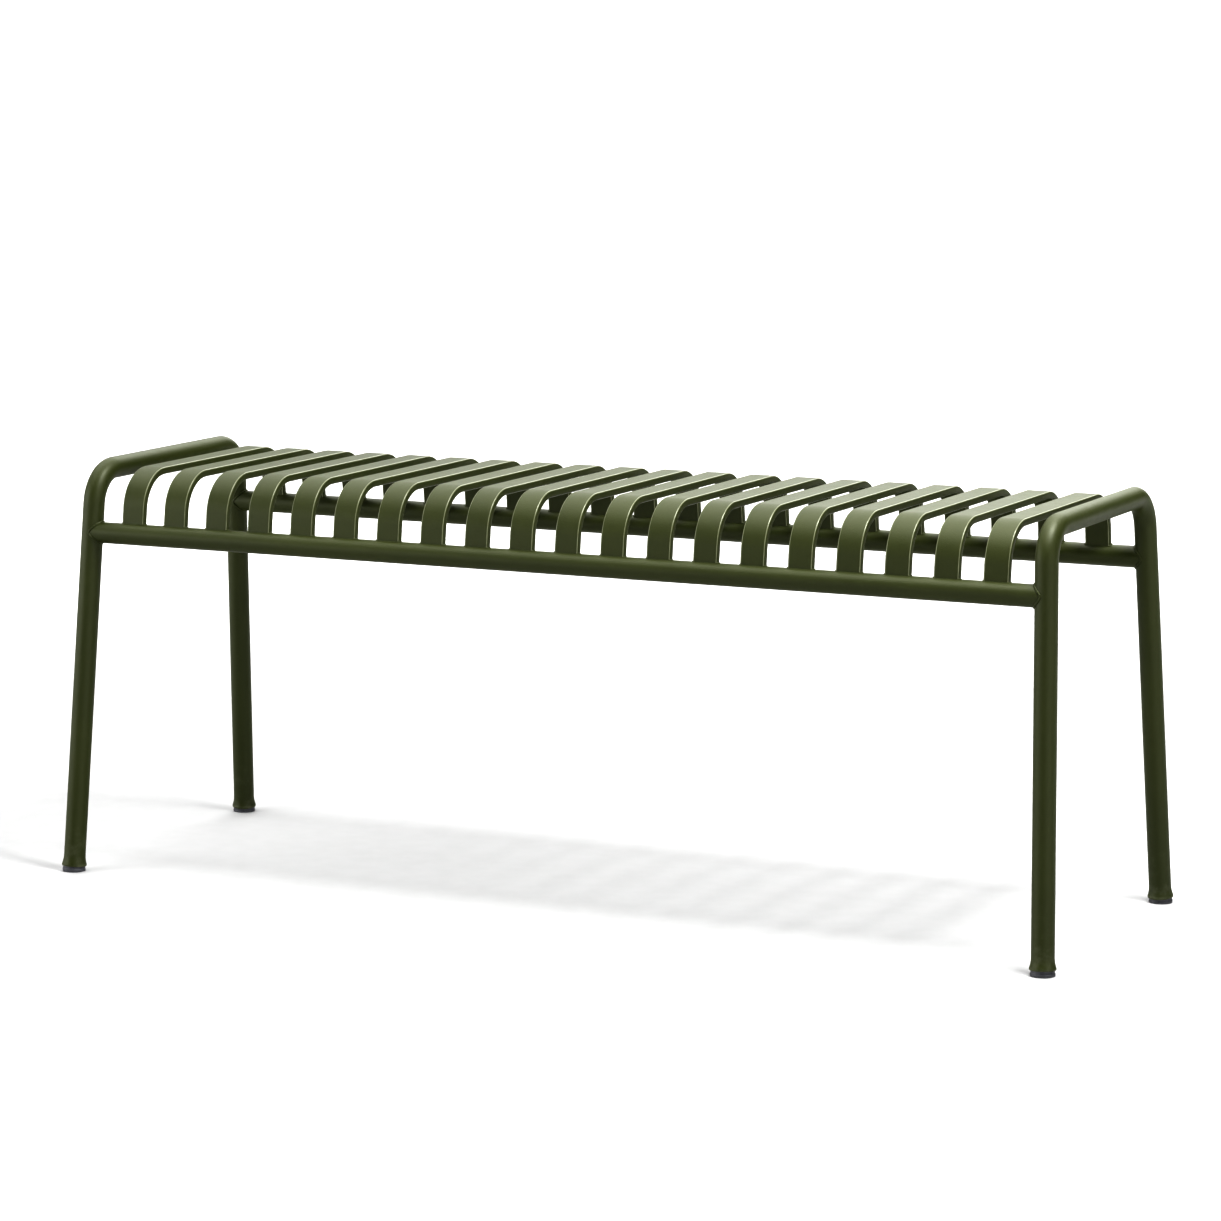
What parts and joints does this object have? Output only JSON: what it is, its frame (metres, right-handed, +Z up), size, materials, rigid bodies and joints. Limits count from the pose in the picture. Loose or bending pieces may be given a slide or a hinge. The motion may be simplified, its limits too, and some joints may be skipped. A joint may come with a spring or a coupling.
{
  "type": "backless bench",
  "caption": "Backless outdoor bench: bent tube end frames, front and rear rails, and a seat of bent flat slats welded across the rails, on plastic glides.",
  "frame": {"origin": "on the floor, under the middle of the bench", "axes": "+X along the seat to the right end, +Y to the rear, +Z up"},
  "size_m": [1.1764, 0.4004, 0.46],
  "materials": {
    "frame_paint": "satin olive green powder coat on steel tube",
    "slat_paint": "satin olive green powder coat on bent flat steel tube",
    "weld_paint": "the same powder coat over weld beads",
    "glide_plastic": "matte dark grey moulded plastic"
  },
  "bodies": {
    "root": {"end_frame_left": "frame_paint", "end_frame_right": "frame_paint", "front_rail": "frame_paint", "rear_rail": "frame_paint", "slat_01": "slat_paint", "slat_02": "slat_paint", "slat_03": "slat_paint", "slat_04": "slat_paint", "slat_05": "slat_paint", "slat_06": "slat_paint", "slat_07": "slat_paint", "slat_08": "slat_paint", "slat_09": "slat_paint", "slat_10": "slat_paint", "slat_11": "slat_paint", "slat_12": "slat_paint", "slat_13": "slat_paint", "slat_14": "slat_paint", "slat_15": "slat_paint", "slat_16": "slat_paint", "slat_17": "slat_paint", "slat_18": "slat_paint", "slat_19": "slat_paint", "slat_20": "slat_paint", "glide_front_left": "glide_plastic", "glide_front_right": "glide_plastic", "glide_rear_left": "glide_plastic", "glide_rear_right": "glide_plastic", "rail_weld_front_left": "weld_paint", "rail_weld_front_right": "weld_paint", "rail_weld_rear_left": "weld_paint", "rail_weld_rear_right": "weld_paint", "front_slat_welds": "weld_paint", "rear_slat_welds": "weld_paint"}
  },
  "joints": []
}
